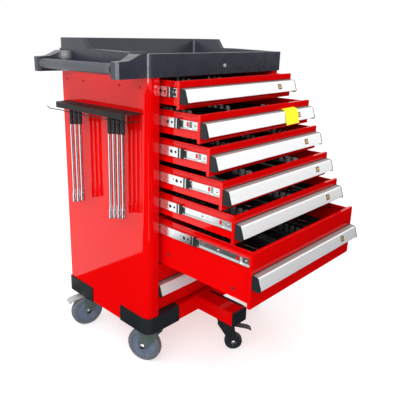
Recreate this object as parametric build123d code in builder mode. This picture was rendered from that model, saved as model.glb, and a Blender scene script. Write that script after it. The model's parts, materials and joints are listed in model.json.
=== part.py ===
from build123d import *
import math
import os

# A seven-drawer tool cart on casters, with a moulded top tray, a push handle and a tool rack on its left side,
# and an anti-tip leg that pulls out of its base. Millimetres, +Z up, -Y is the front, -X the side of the handle.
# The origin is on the floor under the middle of the whole cart as it stands, with its drawers pulled out.
# Every coordinate below is given in the cabinet's own frame: x and y from the cabinet's middle, z from the floor.

# Cabinet
body_width = 680.0
body_depth = 458.0
body_bottom = 140.0
body_top = 1000.0
sheet = 1.5
stile_width = 48.0
stile_return = 20.0
stile_radius = 25.0
rear_radius = 6.0
back_flange = 30.0
opening_half = body_width / 2 - stile_width
front = -body_depth / 2
back = body_depth / 2
fit_gap = 0.2

# Base
base_height = 58.0
base_top = body_bottom + base_height
deck_thickness = 5.0
skirt_thickness = 2.0
channel_width = 96.0
channel_x = 284.0
plate_z = 140.0
pad_pitch = 400.0
pad_width = 540.0
pad_height = 340.0
pad_radius = 20.0

# Drawers, from the top down
drawer_count = 7
deep_drawers = (6, 7)
drawer_pitch = 88.5
first_drawer_top = 995.0
shallow_height = 82.0
deep_height = shallow_height + drawer_pitch
drawer_recess = 20.0
pulled_out = (102.0, 186.0, 225.0, 277.0, 325.0, 393.0, 0.0)
front_half = 290.0
front_depth = 10.0
box_half = 277.5
box_depth = 395.0
box_top_drop = 3.0
box_bottom_rise = 8.0
wall = 1.6

# Aluminium pulls: how far out and how far down each corner of the section lies
pull_drop_shallow = 22.0
pull_drop_deep = 65.0
pull_outline = ((0.0, 1.0), (17.5, -1.0), (20.5, -4.5), (31.0, -37.0))
pull_inside = ((28.8, -36.4), (18.6, -5.4), (16.6, -3.0), (0.0, -1.0))
cap_outline = pull_outline + ((30.0, -41.0), (22.0, -44.0), (0.0, -43.0))
pull_half = 284.0
cap_thickness = 5.0
cap_gap = 0.1

# Slides: three nested members in the 13 mm between the posts and the drawer boxes
post_face = 290.5
slide_drop = 34.5
slide_front = front + drawer_recess + 11.0
cabinet_member_length = 400.0
moving_member_length = 370.0
member_sheet = 1.2
# outer edge, inner edge, half height
cabinet_member = (290.5, 280.0, 16.8)
middle_member = (287.6, 281.2, 14.8)
drawer_member = (285.4, 277.5, 12.4)
# how far each middle member stands out of its closed place when the drawers are pulled out as above
middle_out = (80.0, 111.0, 128.0, 153.0, 126.0, 188.0, 0.0)

# Tool inserts: columns, rows and height for drawers 1 to 6
insert_layouts = ((9, 1, 34.0), (8, 2, 34.0), (10, 1, 34.0), (6, 2, 34.0), (7, 2, 34.0), (5, 2, 90.0))
insert_width = 544.0
insert_depth = 380.0
pocket_depth = 18.0
pocket_wall = 12.0
pocket_radius = 6.0
insert_radius = 8.0
insert_sheet = 3.0

# Top tray and push handle
tray_overhang = 5.0
tray_radius = 24.0
tray_bottom = body_top
tray_floor = 1030.0
rim_front = 1069.0
rim_side = 1075.0
rim_back = 1110.0
rim_thickness = 24.0
tray_wall = 20.0
tray_floor_thickness = 6.0
wall_lean = 0.21
rim_level = 0.0
rim_slope_low = 60.0
rim_slope_high = 85.0
handle_reach = 450.0
arm_front = -226.0
arm_back = -190.0
arm_end_top = 1048.0
arm_profile = ((-366.0, 1067.0), (-388.0, 1057.0), (-408.0, 1050.0))
arm_root = 6.0
arm_chamfer = 8.0
# how far each arm widens towards the tray, and where
arm_waist_x = -410.0
arm_flare_x = -366.0
arm_flare = 14.0
arm_root_flare = 42.0
bar_x = -433.0
bar_z = 1027.0
bar_radius = 16.0
lock_z = 1027.0
lock_radius = 6.5
lock_depth = 19.0
lock_proud = 4.0
lock_edge = 1.0
keyway_width = 1.6
keyway_height = 7.0
keyway_depth = 1.0
lock_clearance = 0.05

# Corner bumpers
bumper_proud = 5.0
bumper_leg = 150.0
bumper_lip = 30.0
bumper_lip_thickness = 2.0

# Tool rack on the left panel
rack_front = -205.0
rack_back = 197.0
rack_corner = 26.0
rack_lip_return = 15.0
rack_width = 60.0
rack_z = 893.0
rack_sheet = 3.0
rack_lip = 18.0
rack_hole_radius = 9.0
grip_hole_radius = 7.8
rack_row = -380.0
bar_places = (-161.0, -139.0, -117.0, -95.0, 66.0, 91.0, 117.0)
bar_feet = (558.0, 552.0, 547.0, 540.0, 562.0, 552.0, 545.0)
free_holes = (-62.0, -25.0, 12.0, 158.0)
grip_bottoms = (826.0, 822.0, 829.0, 824.0, 822.0, 824.0, 833.0)
rod_radius = 5.4
grip_radius = 7.4
socket_radius = 7.3
socket_length = 46.0
socket_taper = 8.0
grip_flange = 2.6
grip_flange_edge = 1.4
wire_radius = 1.6
wire_x = -397.5
wire_bend = 5.0
rail_end = 240.0

# Main casters
wheel_radius = 62.5
wheel_width = 32.0
axle_radius = 6.0
kingpin_x = 290.0
kingpin_y = 175.5
caster_middle = -14.5
caster_trail = 26.0
front_left_turn = 22.0
rear_left_turn = 75.0
cheek_gap = 20.0
cheek_sheet = 3.0
plate_width = 90.0
plate_depth = 68.0
plate_radius = 6.0

# Anti-tip leg
leg_left = -89.0
leg_right = -15.0
leg_top = 191.0
leg_out = 167.0
leg_inside = 250.0
leg_wall = 3.0
leg_cap_thickness = 8.0
leg_cap_radius = 4.0
leg_kingpin = (-43.0, -324.0)
leg_wheel_radius = 32.5
leg_wheel_width = 22.0
leg_trail = 32.0
leg_caster_turn = -135.0
leg_gap = 1.0

# Where the cabinet's middle lies from the origin
pull_reach = max(pulled_out) - drawer_recess + max(out for out, down in pull_outline)
rail_reach = rail_end + wire_radius
cabinet_x = (handle_reach - body_width / 2 - tray_overhang) / 2
cabinet_y = (body_depth / 2 + pull_reach - rail_reach) / 2

os.makedirs("parts", exist_ok=True)


def level(x, y, z):
    """A flat plane seen from above: sketch x runs right, sketch y runs to the back."""
    return Plane(origin=(cabinet_x + x, cabinet_y + y, z))


def facing_front(x, y, z):
    """An upright plane seen from the front: sketch x runs right, sketch y up, and it extrudes forward."""
    return Plane(origin=(cabinet_x + x, cabinet_y + y, z), x_dir=(1, 0, 0), z_dir=(0, -1, 0))


def facing_right(x, y, z):
    """An upright plane seen from the right: sketch x runs to the back, sketch y up, and it extrudes right."""
    return Plane(origin=(cabinet_x + x, cabinet_y + y, z), x_dir=(0, 1, 0), z_dir=(1, 0, 0))


def turned(x, y, z, degrees):
    """A flat plane whose sketch x axis is turned by an angle: a caster's own frame."""
    across = (math.cos(math.radians(degrees)), math.sin(math.radians(degrees)), 0)
    return Plane(origin=(cabinet_x + x, cabinet_y + y, z), x_dir=across, z_dir=(0, 0, 1))


def keep(piece, name):
    """Label a finished sub-part and write it."""
    piece.label = name
    export_step(piece, f"parts/{name}.step")


middle_plane = Plane.YZ.offset(cabinet_x)
caster_plane = Plane.XZ.offset(-cabinet_y - caster_middle)


# ---------------------------------------------------------------- cabinet shell

def side_panel(side, name):
    """One side wall, rounded at the front into the stile and folded in at the back."""
    panel_middle = side * (body_width / 2 - stile_width / 2)
    outermost = 0 if side < 0 else -1
    with BuildPart() as panel:
        with BuildSketch(level(panel_middle, 0, body_bottom)):
            Rectangle(stile_width, body_depth)
            fillet(vertices().group_by(Axis.Y)[0].sort_by(Axis.X)[outermost], stile_radius)
            fillet(vertices().group_by(Axis.Y)[-1].sort_by(Axis.X)[outermost], rear_radius)
            offset(amount=-sheet, mode=Mode.SUBTRACT)
            with Locations((-side * stile_width / 2, (stile_return - sheet) / 2)):
                Rectangle(2 * (stile_width - back_flange), body_depth - stile_return - sheet, mode=Mode.SUBTRACT)
            with Locations((-side * stile_width / 2, back)):
                Rectangle(2 * (stile_width - back_flange), 4 * sheet, mode=Mode.SUBTRACT)
        extrude(amount=body_top - body_bottom)
    keep(panel.part, name)


side_panel(-1, "side_panel_left")
side_panel(1, "side_panel_right")

back_panel_width = body_width - 2 * (rear_radius + sheet)
back_panel_y = back - sheet - fit_gap
with BuildPart() as back_panel:
    with BuildSketch(facing_front(0, back_panel_y, (body_bottom + body_top) / 2)):
        Rectangle(back_panel_width, body_top - body_bottom)
    extrude(amount=sheet)
    with BuildSketch(facing_front(0, back_panel_y, (body_bottom + body_top) / 2)):
        with GridLocations(0, pad_pitch, 1, 2):
            RectangleRounded(pad_width, pad_height, pad_radius)
    extrude(amount=-sheet)
keep(back_panel.part, "back_panel")

base_half = body_width / 2 - sheet - fit_gap
base_back = back_panel_y - sheet - fit_gap
base_step = front + stile_radius + fit_gap
with BuildPart() as base_frame:
    with BuildSketch(level(0, 0, body_bottom)) as base_outline:
        with Locations((0, (base_back + base_step) / 2)):
            Rectangle(2 * base_half, base_back - base_step)
            fillet(vertices().group_by(Axis.Y)[-1], rear_radius)
        with Locations((0, (front + base_step) / 2)):
            Rectangle(2 * (opening_half - fit_gap), base_step - front)
    extrude(amount=base_height)
    with BuildSketch(level(0, 0, body_bottom)):
        add(base_outline.sketch_local)
        offset(amount=-skirt_thickness, kind=Kind.INTERSECTION, mode=Mode.REPLACE)
    extrude(amount=base_height - deck_thickness, mode=Mode.SUBTRACT)
    with BuildSketch(facing_front((leg_left + leg_right) / 2, base_step, body_bottom)):
        with Locations((0, (leg_top - body_bottom) / 2)):
            Rectangle(leg_right - leg_left + leg_gap, leg_top - body_bottom + leg_gap)
    extrude(amount=2 * (base_step - front), mode=Mode.SUBTRACT)
keep(base_frame.part, "base_frame")

channel_height = base_top - deck_thickness - plate_z - fit_gap
with BuildPart() as caster_mounts:
    for side in (-1, 1):
        with BuildSketch(facing_front(side * channel_x, base_back - skirt_thickness - fit_gap, plate_z)):
            with Locations((0, channel_height / 2)):
                Rectangle(channel_width, channel_height)
            with Locations((0, channel_height / 2 + skirt_thickness)):
                Rectangle(channel_width - 2 * skirt_thickness, channel_height, mode=Mode.SUBTRACT)
        extrude(amount=base_back - base_step - 2 * (skirt_thickness + fit_gap))
    with BuildSketch(level(0, 0, plate_z - cheek_sheet - fit_gap / 2)):
        with Locations((-kingpin_x, caster_middle)):
            with GridLocations(0, 2 * kingpin_y, 1, 2):
                RectangleRounded(plate_width, plate_depth, plate_radius)
    extrude(amount=cheek_sheet)
keep(caster_mounts.part, "caster_mounts")

# Posts that carry the slides, and the rails under the tray
post_width = 40.0
post_flange = 16.0
post_front = front + drawer_recess + 9.0
post_back = back - 80.0
rail_depth = 50.0
with BuildPart() as inner_posts:
    for place in (post_front, post_back):
        with BuildSketch(level(-post_face, place, base_top)):
            with Locations((-sheet / 2, post_width / 2)):
                Rectangle(sheet, post_width)
            with Locations((-post_flange / 2, sheet / 2)):
                Rectangle(post_flange, sheet)
        extrude(amount=body_top - base_top - 2 * sheet - 1.0)
    mirror(about=middle_plane)
    for place in (post_front, post_back):
        with BuildSketch(level(0, place + rail_depth / 2, body_top - 2 * sheet)):
            Rectangle(2 * base_half, rail_depth)
        extrude(amount=sheet)
keep(inner_posts.part, "inner_posts")


# ---------------------------------------------------------------- top tray, handle and lock

tray_half_width = body_width / 2 + tray_overhang
tray_half_depth = body_depth / 2 + tray_overhang
with BuildPart() as top_tray:
    with BuildSketch(level(0, 0, tray_bottom)):
        RectangleRounded(2 * tray_half_width, 2 * tray_half_depth, tray_radius)
    extrude(amount=rim_back - tray_bottom)
    # the rims: low in front, a little higher along the sides, sloping up to the raised rim at the back
    with BuildSketch(facing_right(-tray_half_width - 1, 0, 0)):
        with BuildLine():
            Polyline(
                (-tray_half_depth - 1, rim_front),
                (-tray_half_depth + rim_thickness, rim_front),
                (rim_level, rim_side),
                (rim_slope_low, rim_side),
                (rim_slope_high, rim_back),
                (rim_slope_high, rim_back + 1),
                (-tray_half_depth - 1, rim_back + 1),
                close=True,
            )
        make_face()
    extrude(amount=2 * tray_half_width + 2, mode=Mode.SUBTRACT)
    # two arms that carry the push handle
    with BuildSketch(level(0, 0, tray_bottom)):
        for end in (-1, 1):
            with BuildLine():
                Polyline(
                    (-tray_half_width + arm_root, -end * arm_front),
                    (-handle_reach + arm_chamfer, -end * arm_front),
                    (-handle_reach, -end * (arm_front + arm_chamfer)),
                    (-handle_reach, -end * (arm_back - arm_chamfer)),
                    (-handle_reach + arm_chamfer, -end * arm_back),
                    (arm_waist_x, -end * arm_back),
                    (arm_flare_x, -end * (arm_back + arm_flare)),
                    (-tray_half_width + arm_root, -end * (arm_back + arm_root_flare)),
                    close=True,
                )
            make_face()
    extrude(amount=rim_side - tray_bottom)
    with BuildSketch(facing_front(0, tray_half_depth + 1, 0)):
        with BuildLine():
            Polyline(
                (-tray_half_width, rim_front),
                *arm_profile,
                (-handle_reach - 1, arm_end_top),
                (-handle_reach - 1, rim_back + 1),
                (-tray_half_width, rim_back + 1),
                close=True,
            )
        make_face()
    extrude(amount=2 * tray_half_depth + 2, mode=Mode.SUBTRACT)
    # the inside, its walls leaning outwards
    for height in (tray_floor, rim_back + 1):
        inset = rim_thickness + wall_lean * (rim_front - height)
        with BuildSketch(level(0, 0, height)):
            RectangleRounded(2 * (tray_half_width - inset), 2 * (tray_half_depth - inset), tray_radius / 2)
    loft(mode=Mode.SUBTRACT)
    with BuildSketch(level(0, 0, tray_bottom)):
        RectangleRounded(
            2 * (tray_half_width - tray_wall), 2 * (tray_half_depth - tray_wall), tray_radius / 2
        )
    extrude(amount=tray_floor - tray_floor_thickness - tray_bottom, mode=Mode.SUBTRACT)
    with BuildSketch(facing_front(0, -tray_half_depth, lock_z)):
        Circle(lock_radius + lock_clearance)
    extrude(amount=-tray_wall, mode=Mode.SUBTRACT)
keep(top_tray.part, "top_tray")

with BuildPart() as handle_bar:
    with BuildSketch(facing_front(bar_x, -arm_back - fit_gap, bar_z)):
        Circle(bar_radius)
    extrude(amount=2 * (-arm_back - fit_gap))
keep(handle_bar.part, "handle_bar")

with BuildPart() as lock_barrel:
    with BuildSketch(facing_front(0, -tray_half_depth + lock_depth, lock_z)):
        Circle(lock_radius)
    extrude(amount=lock_depth + lock_proud)
    fillet(edges().group_by(Axis.Y)[0], lock_edge)
    with BuildSketch(facing_front(0, -tray_half_depth - lock_proud, lock_z)):
        Rectangle(keyway_width, keyway_height)
    extrude(amount=-keyway_depth, mode=Mode.SUBTRACT)
keep(lock_barrel.part, "lock_barrel")


# ---------------------------------------------------------------- corner bumpers

bumper_outer_x = body_width / 2 + bumper_proud
bumper_outer_y = body_depth / 2 + bumper_proud


def shell_outline(grow):
    """The cabinet's outline in plan, grown by an amount: wide rounds in front, tight ones at the back."""
    with BuildSketch() as outline:
        Rectangle(body_width + 2 * grow, body_depth + 2 * grow)
        fillet(vertices().group_by(Axis.Y)[0], stile_radius + grow)
        fillet(vertices().group_by(Axis.Y)[-1], rear_radius + grow)
    return outline.sketch


bumper_outside = shell_outline(bumper_proud)
bumper_inside = shell_outline(fit_gap / 2)
with BuildPart() as corner_bumpers:
    with BuildSketch(level(0, 0, body_bottom)):
        add(bumper_outside)
        add(bumper_inside, mode=Mode.SUBTRACT)
        Rectangle(2 * (bumper_outer_x - bumper_leg), 3 * body_depth, mode=Mode.SUBTRACT)
        Rectangle(3 * body_width, 2 * (bumper_outer_y - bumper_leg), mode=Mode.SUBTRACT)
    extrude(amount=base_height)
    # the front pair also covers the ledge of the base beside the stiles
    lip_start = bumper_outer_x - bumper_leg
    lip_end = opening_half - 2 * fit_gap
    with BuildSketch(level(0, 0, base_top + fit_gap)):
        for side in (-1, 1):
            with Locations((side * (lip_start + lip_end) / 2, front - bumper_proud + bumper_lip / 2)):
                Rectangle(lip_end - lip_start, bumper_lip)
    extrude(amount=bumper_lip_thickness)
    with BuildSketch(level(0, 0, base_top - 1)):
        for side in (-1, 1):
            with Locations((side * (lip_start + lip_end) / 2, front - bumper_proud / 2 - fit_gap / 2)):
                Rectangle(lip_end - lip_start, bumper_proud - fit_gap)
    extrude(amount=1 + fit_gap)
keep(corner_bumpers.part, "corner_bumpers")


# ---------------------------------------------------------------- tool rack

def rack_plan():
    """The rack's outline in plan: square against the panel, rounded at its two outer corners."""
    Rectangle(rack_width, rack_back - rack_front)
    fillet(vertices().group_by(Axis.X)[0], rack_corner)


wire_path = (
    (wire_x, rail_end, 876), (wire_x, 224, 869), (wire_x, 150, 871), (wire_x, 60, 867), (wire_x, -40, 871),
    (wire_x, -173, 870), (wire_x + 20, -195, 870), (-343, -195, 870),
)
rack_middle = (rack_front + rack_back) / 2
rack_x = -body_width / 2 - rack_width / 2 - fit_gap
with BuildPart() as tool_rack:
    with BuildSketch(level(rack_x, rack_middle, rack_z)):
        rack_plan()
    extrude(amount=rack_sheet)
    with BuildSketch(level(rack_x, rack_middle, rack_z - rack_lip + rack_sheet)):
        rack_plan()
        with Locations((rack_sheet, 0)):
            Rectangle(rack_width, rack_back - rack_front - 2 * rack_sheet, mode=Mode.SUBTRACT)
        with Locations((rack_lip_return, 0)):
            Rectangle(rack_width, rack_back - rack_front + 2, mode=Mode.SUBTRACT)
    extrude(amount=rack_lip - rack_sheet)
    with BuildSketch(level(0, 0, rack_z)):
        with Locations(*[(rack_row, place) for place in bar_places]):
            Circle(grip_hole_radius)
        with Locations(*[(rack_row, place) for place in free_holes]):
            Circle(rack_hole_radius)
    extrude(amount=rack_sheet, mode=Mode.SUBTRACT)
    # the wire rail that hangs under the shelf, hooked up at its back end
    with BuildLine() as wire_line:
        FilletPolyline(*[(cabinet_x + x, cabinet_y + y, z) for x, y, z in wire_path], radius=wire_bend)
    with BuildSketch(Plane(origin=wire_line.line @ 0, z_dir=wire_line.line % 0)):
        Circle(wire_radius)
    sweep(path=wire_line.line)
keep(tool_rack.part, "tool_rack")


# Long-handled drivers: a flanged black grip through the rack, a chrome rod and a socket end
grip_seat = rack_z + rack_sheet + fit_gap
with BuildPart() as hanging_bars:
    for place, foot, grip_bottom in zip(bar_places, bar_feet, grip_bottoms):
        with BuildSketch(facing_front(rack_row, place, 0)):
            with BuildLine():
                Polyline(
                    (0, foot),
                    (socket_radius, foot),
                    (socket_radius, foot + socket_length - socket_taper),
                    (rod_radius, foot + socket_length),
                    (rod_radius, grip_bottom),
                    (grip_radius, grip_bottom),
                    (grip_radius, grip_seat),
                    (grip_radius + grip_flange, grip_seat),
                    (grip_radius + grip_flange, grip_seat + grip_flange_edge),
                    (grip_radius, grip_seat + grip_flange),
                    (0, grip_seat + grip_flange),
                    close=True,
                )
            make_face()
        revolve(axis=Axis((cabinet_x + rack_row, cabinet_y + place, 0), (0, 0, 1)))
keep(hanging_bars.part, "hanging_bars")


# ---------------------------------------------------------------- drawers

def drawer_facts(number):
    """Top, height and the rest position of the front face of one drawer."""
    top = first_drawer_top - drawer_pitch * (number - 1)
    if number == drawer_count:
        top -= drawer_pitch
    height = deep_height if number in deep_drawers else shallow_height
    face = front + drawer_recess - pulled_out[number - 1]
    return top, height, face


def drawer_box(number):
    top, height, face = drawer_facts(number)
    box_bottom = top - height + box_bottom_rise
    box_height = height - box_bottom_rise - box_top_drop
    with BuildPart() as drawer:
        # folded front, open at the back
        with BuildSketch(facing_front(0, face, top - height / 2)):
            Rectangle(2 * front_half, height)
        extrude(amount=-front_depth)
        with BuildSketch(facing_front(0, face + wall, top - height / 2)):
            Rectangle(2 * (front_half - wall), height - 2 * wall)
        extrude(amount=-front_depth, mode=Mode.SUBTRACT)
        # box welded behind it
        with BuildSketch(level(0, face + wall + box_depth / 2, box_bottom)):
            Rectangle(2 * box_half, box_depth)
        extrude(amount=box_height)
        with BuildSketch(level(0, face + wall + box_depth / 2, box_bottom + wall)):
            Rectangle(2 * (box_half - wall), box_depth - 2 * wall)
        extrude(amount=box_height, mode=Mode.SUBTRACT)
    keep(drawer.part, f"drawer_{number}")


def drawer_pull(number):
    top, face = drawer_facts(number)[::2]
    pull_top = top - (pull_drop_deep if number in deep_drawers else pull_drop_shallow)
    with BuildPart() as pull:
        with BuildSketch(facing_right(-pull_half, face, pull_top)):
            with BuildLine():
                Polyline(*[(-out, down) for out, down in pull_outline + pull_inside], close=True)
            make_face()
        extrude(amount=2 * pull_half)
        for side in (-1, 1):
            inner_end = side * (pull_half + cap_gap)
            with BuildSketch(facing_right(inner_end, face, pull_top)):
                with BuildLine():
                    Polyline(*[(-out, down) for out, down in cap_outline], close=True)
                make_face()
            extrude(amount=side * cap_thickness)
    keep(pull.part, f"drawer_{number}_pull")


def slide_section(outer, inner, half_height, web_outside):
    """A channel section on the left side of the cabinet: a web and two lips."""
    with Locations((-(outer + inner) / 2, 0)):
        Rectangle(outer - inner, 2 * half_height)
    shift = member_sheet if web_outside else -member_sheet
    with Locations((-(outer + inner) / 2 + shift, 0)):
        Rectangle(outer - inner, 2 * (half_height - member_sheet), mode=Mode.SUBTRACT)


def slide_pair(number, member, member_front, length, web_outside, name):
    with BuildPart() as pair:
        with BuildSketch(facing_front(0, member_front, drawer_facts(number)[0] - slide_drop)):
            slide_section(*member, web_outside)
        extrude(amount=-length)
        mirror(about=middle_plane)
    keep(pair.part, name)


def tool_insert(number):
    top, height, face = drawer_facts(number)
    columns, rows, insert_height = insert_layouts[number - 1]
    insert_bottom = top - height + box_bottom_rise + wall + fit_gap
    insert_middle = face + wall + box_depth / 2
    pocket_x = insert_width / columns
    pocket_y = insert_depth / rows
    with BuildPart() as tool_tray:
        with BuildSketch(level(0, insert_middle, insert_bottom)):
            RectangleRounded(insert_width, insert_depth, insert_radius)
        extrude(amount=insert_height)
        with BuildSketch(level(0, insert_middle, insert_bottom + insert_height)):
            with GridLocations(pocket_x, pocket_y, columns, rows):
                RectangleRounded(pocket_x - pocket_wall, pocket_y - pocket_wall, pocket_radius)
        extrude(amount=-pocket_depth, mode=Mode.SUBTRACT)
        with BuildSketch(level(0, insert_middle, insert_bottom)):
            RectangleRounded(insert_width - pocket_wall, insert_depth - pocket_wall, pocket_radius)
        extrude(amount=insert_height - pocket_depth - insert_sheet, mode=Mode.SUBTRACT)
    keep(tool_tray.part, f"drawer_{number}_insert")


for number in range(1, drawer_count + 1):
    out = pulled_out[number - 1]
    drawer_box(number)
    drawer_pull(number)
    slide_pair(
        number, drawer_member, slide_front - out, moving_member_length, False, f"drawer_{number}_slide_inner"
    )
    slide_pair(
        number, middle_member, slide_front - middle_out[number - 1], moving_member_length, True,
        f"drawer_{number}_slide_middle",
    )
    if number < drawer_count:
        tool_insert(number)

with BuildPart() as slide_cabinet_members:
    for number in range(1, drawer_count + 1):
        with BuildSketch(facing_front(0, slide_front, drawer_facts(number)[0] - slide_drop)):
            slide_section(*cabinet_member, True)
        extrude(amount=-cabinet_member_length)
    mirror(about=middle_plane)
keep(slide_cabinet_members.part, "slide_cabinet_members")


# ---------------------------------------------------------------- casters

hub_proud = 1.5
hub_rim = 5.0
hub_foot = 8.0
web_recess = 4.0
tread_round = 6.0
# the tyre's inner edge and its sidewall's inner edge, as parts of the wheel's radius
tyre_inner = 0.72
sidewall_inner = 0.76


def wheel(x, y, degrees, radius, width, hub_radius, name):
    """A tyred wheel on its axle line; the axle runs along the sketch x axis turned by the angle."""
    tread = width / 2
    with BuildPart() as tyred_wheel:
        axle_plane = turned(x, y, radius, degrees)
        with BuildSketch(Plane(origin=axle_plane.origin, x_dir=axle_plane.x_dir, z_dir=axle_plane.y_dir)):
            with BuildLine():
                Polyline(
                    (-tread - hub_proud, hub_radius),
                    (-tread - hub_proud, hub_radius + hub_rim),
                    (-tread + web_recess, hub_radius + hub_foot),
                    (-tread + web_recess, radius * tyre_inner),
                    (-tread, radius * sidewall_inner),
                    (-tread, radius - tread_round),
                    (-tread + tread_round, radius),
                    (tread - tread_round, radius),
                    (tread, radius - tread_round),
                    (tread, radius * sidewall_inner),
                    (tread - web_recess, radius * tyre_inner),
                    (tread - web_recess, hub_radius + hub_foot),
                    (tread + hub_proud, hub_radius + hub_rim),
                    (tread + hub_proud, hub_radius),
                    close=True,
                )
            make_face()
        revolve(axis=Axis(axle_plane.origin, axle_plane.x_dir))
    keep(tyred_wheel.part, name)


boss_wall = 8.0
cheek_front_drop = 14.0
cheek_rear_drop = 18.0
axle_end = 5.0


def fork(x, y, degrees, trail, radius, half_gap, crown_z, crown_half, top_z, race_radius, axle, rigid, name):
    """A caster fork: two cheeks, crown, raceway or top plate and the axle, turned about its kingpin.

    Its own frame has the axle along sketch x and the wheel trailing along sketch y. A rigid fork carries its own
    top plate and has a twin at the other end of the cabinet.
    """
    own = turned(x, y, 0, degrees)
    cheek_side = Plane(origin=own.origin, x_dir=own.y_dir, z_dir=own.x_dir)
    boss = axle + boss_wall
    axle_reach = half_gap + cheek_sheet + axle_end
    with BuildPart() as caster_fork:
        for side in (-1, 1):
            with BuildSketch(cheek_side.offset(side * half_gap)):
                with BuildLine():
                    Polyline(
                        (-crown_half, crown_z),
                        (crown_half, crown_z),
                        (crown_half, crown_z - cheek_front_drop),
                        (trail + boss, radius),
                        (trail + boss * 0.6, radius - boss * 0.8),
                        (trail - boss * 0.6, radius - boss * 0.8),
                        (trail - boss, radius),
                        (-crown_half, crown_z - cheek_rear_drop),
                        close=True,
                    )
                make_face()
            extrude(amount=side * cheek_sheet)
        with BuildSketch(own.offset(crown_z - cheek_sheet)):
            Rectangle(2 * (half_gap + cheek_sheet), 2 * crown_half)
        extrude(amount=cheek_sheet)
        with BuildSketch(own.offset(crown_z)):
            Circle(race_radius)
        extrude(amount=top_z - crown_z)
        with BuildSketch(cheek_side.offset(-axle_reach)):
            with Locations((trail, radius)):
                Circle(axle)
        extrude(amount=2 * axle_reach)
        if rigid:
            with BuildSketch(own.offset(top_z - cheek_sheet)):
                RectangleRounded(plate_width, plate_depth, plate_radius)
            extrude(amount=cheek_sheet)
            mirror(about=caster_plane)
    keep(caster_fork.part, name)


def trailing_point(x, y, degrees, trail):
    """Where the axle's middle lies for a fork turned by the angle."""
    angle = math.radians(degrees)
    return x - trail * math.sin(angle), y + trail * math.cos(angle)


bore_clearance = 0.05
swivel_gap = 0.3
hub_bore = axle_radius + bore_clearance
fork_top = plate_z - cheek_sheet - swivel_gap
crown_z = 132.0
crown_half = 34.0
race_radius = 30.0
front_y = caster_middle - kingpin_y
rear_y = caster_middle + kingpin_y

for name, place, turn in (("front", front_y, front_left_turn), ("rear", rear_y, rear_left_turn)):
    fork(
        -kingpin_x, place, turn, caster_trail, wheel_radius, cheek_gap, crown_z, crown_half, fork_top,
        race_radius, axle_radius, False, f"{name}_swivel_fork",
    )
    wheel_x, wheel_y = trailing_point(-kingpin_x, place, turn, caster_trail)
    wheel(wheel_x, wheel_y, turn, wheel_radius, wheel_width, hub_bore, f"wheel_{name}_left")

fork(
    kingpin_x, front_y, 0, 0, wheel_radius, cheek_gap, crown_z, crown_half, plate_z - fit_gap / 2,
    race_radius, axle_radius, True, "rigid_forks",
)
for name, place in (("front", front_y), ("rear", rear_y)):
    wheel(kingpin_x, place, 0, wheel_radius, wheel_width, hub_bore, f"wheel_{name}_right")


# a pedal's side view, from its far end: how far in and how far down its corners lie
pedal_sheet = 3.0
pedal_pin = 2.5
pin_past_pedal = 0.5
pedal_outline = ((14.0, 5.0), (0.0, 13.0), (2.0, 16.0), (15.0, 9.0))


def brake_pedal(x, y, degrees, reach_start, reach_end, height, half_width, name):
    """A foot pedal: a bent plate on a pivot pin between the cheeks, standing out past the wheel."""
    own = turned(x, y, 0, degrees)
    side_view = Plane(origin=own.origin, x_dir=own.y_dir, z_dir=own.x_dir)
    with BuildPart() as pedal:
        with BuildSketch(side_view.offset(-half_width)):
            with BuildLine():
                Polyline(
                    (reach_start, height),
                    (reach_start, height + pedal_sheet),
                    *[(reach_end - back_by, height - down) for back_by, down in pedal_outline],
                    close=True,
                )
            make_face()
        extrude(amount=2 * half_width)
        with BuildSketch(side_view.offset(-half_width - pin_past_pedal)):
            with Locations((reach_start, height + pedal_sheet / 2)):
                Circle(pedal_pin)
        extrude(amount=2 * (half_width + pin_past_pedal))
    keep(pedal.part, name)


pedal_gap = 3.0
pedal_height = 128.0
pedal_half = 19.0
pedal_past_wheel = 14.0
brake_pedal(
    -kingpin_x, rear_y, rear_left_turn, crown_half + pedal_gap,
    caster_trail + wheel_radius + pedal_past_wheel, pedal_height, pedal_half, "rear_brake_pedal",
)


# ---------------------------------------------------------------- anti-tip leg

leg_middle = (leg_left + leg_right) / 2
leg_width = leg_right - leg_left
leg_z = (body_bottom + leg_top) / 2
leg_height = leg_top - body_bottom
leg_front = front - leg_out
leg_beam_front = leg_front + leg_cap_thickness
leg_length = leg_out + leg_inside - leg_cap_thickness
with BuildPart() as leg_beam:
    with BuildSketch(facing_front(leg_middle, leg_beam_front, leg_z)):
        Rectangle(leg_width, leg_height)
        Rectangle(leg_width - 2 * leg_wall, leg_height - 2 * leg_wall, mode=Mode.SUBTRACT)
    extrude(amount=-leg_length)
keep(leg_beam.part, "leg_beam")

with BuildPart() as leg_end_cap:
    with BuildSketch(facing_front(leg_middle, leg_beam_front - cap_gap, leg_z)):
        RectangleRounded(leg_width, leg_height, leg_cap_radius)
    extrude(amount=leg_cap_thickness - cap_gap)
keep(leg_end_cap.part, "leg_end_cap")

leg_x, leg_y = leg_kingpin
leg_axle = 5.0
leg_cheek_gap = 14.0
leg_crown_z = 128.0
leg_crown_half = 30.0
leg_race_radius = 22.0
leg_pedal_reach = 96.0
leg_pedal_height = 98.0
leg_pedal_half = 13.2
fork(
    leg_x, leg_y, leg_caster_turn, leg_trail, leg_wheel_radius, leg_cheek_gap, leg_crown_z, leg_crown_half,
    body_bottom - swivel_gap, leg_race_radius, leg_axle, False, "leg_fork",
)
leg_wheel_x, leg_wheel_y = trailing_point(leg_x, leg_y, leg_caster_turn, leg_trail)
wheel(
    leg_wheel_x, leg_wheel_y, leg_caster_turn, leg_wheel_radius, leg_wheel_width, leg_axle + bore_clearance,
    "leg_wheel",
)
brake_pedal(
    leg_x, leg_y, leg_caster_turn, leg_crown_half + pedal_gap, leg_pedal_reach, leg_pedal_height,
    leg_pedal_half, "leg_brake_pedal",
)
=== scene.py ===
import bmesh
import bpy
import json
import math
from mathutils import Matrix, Vector

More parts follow.
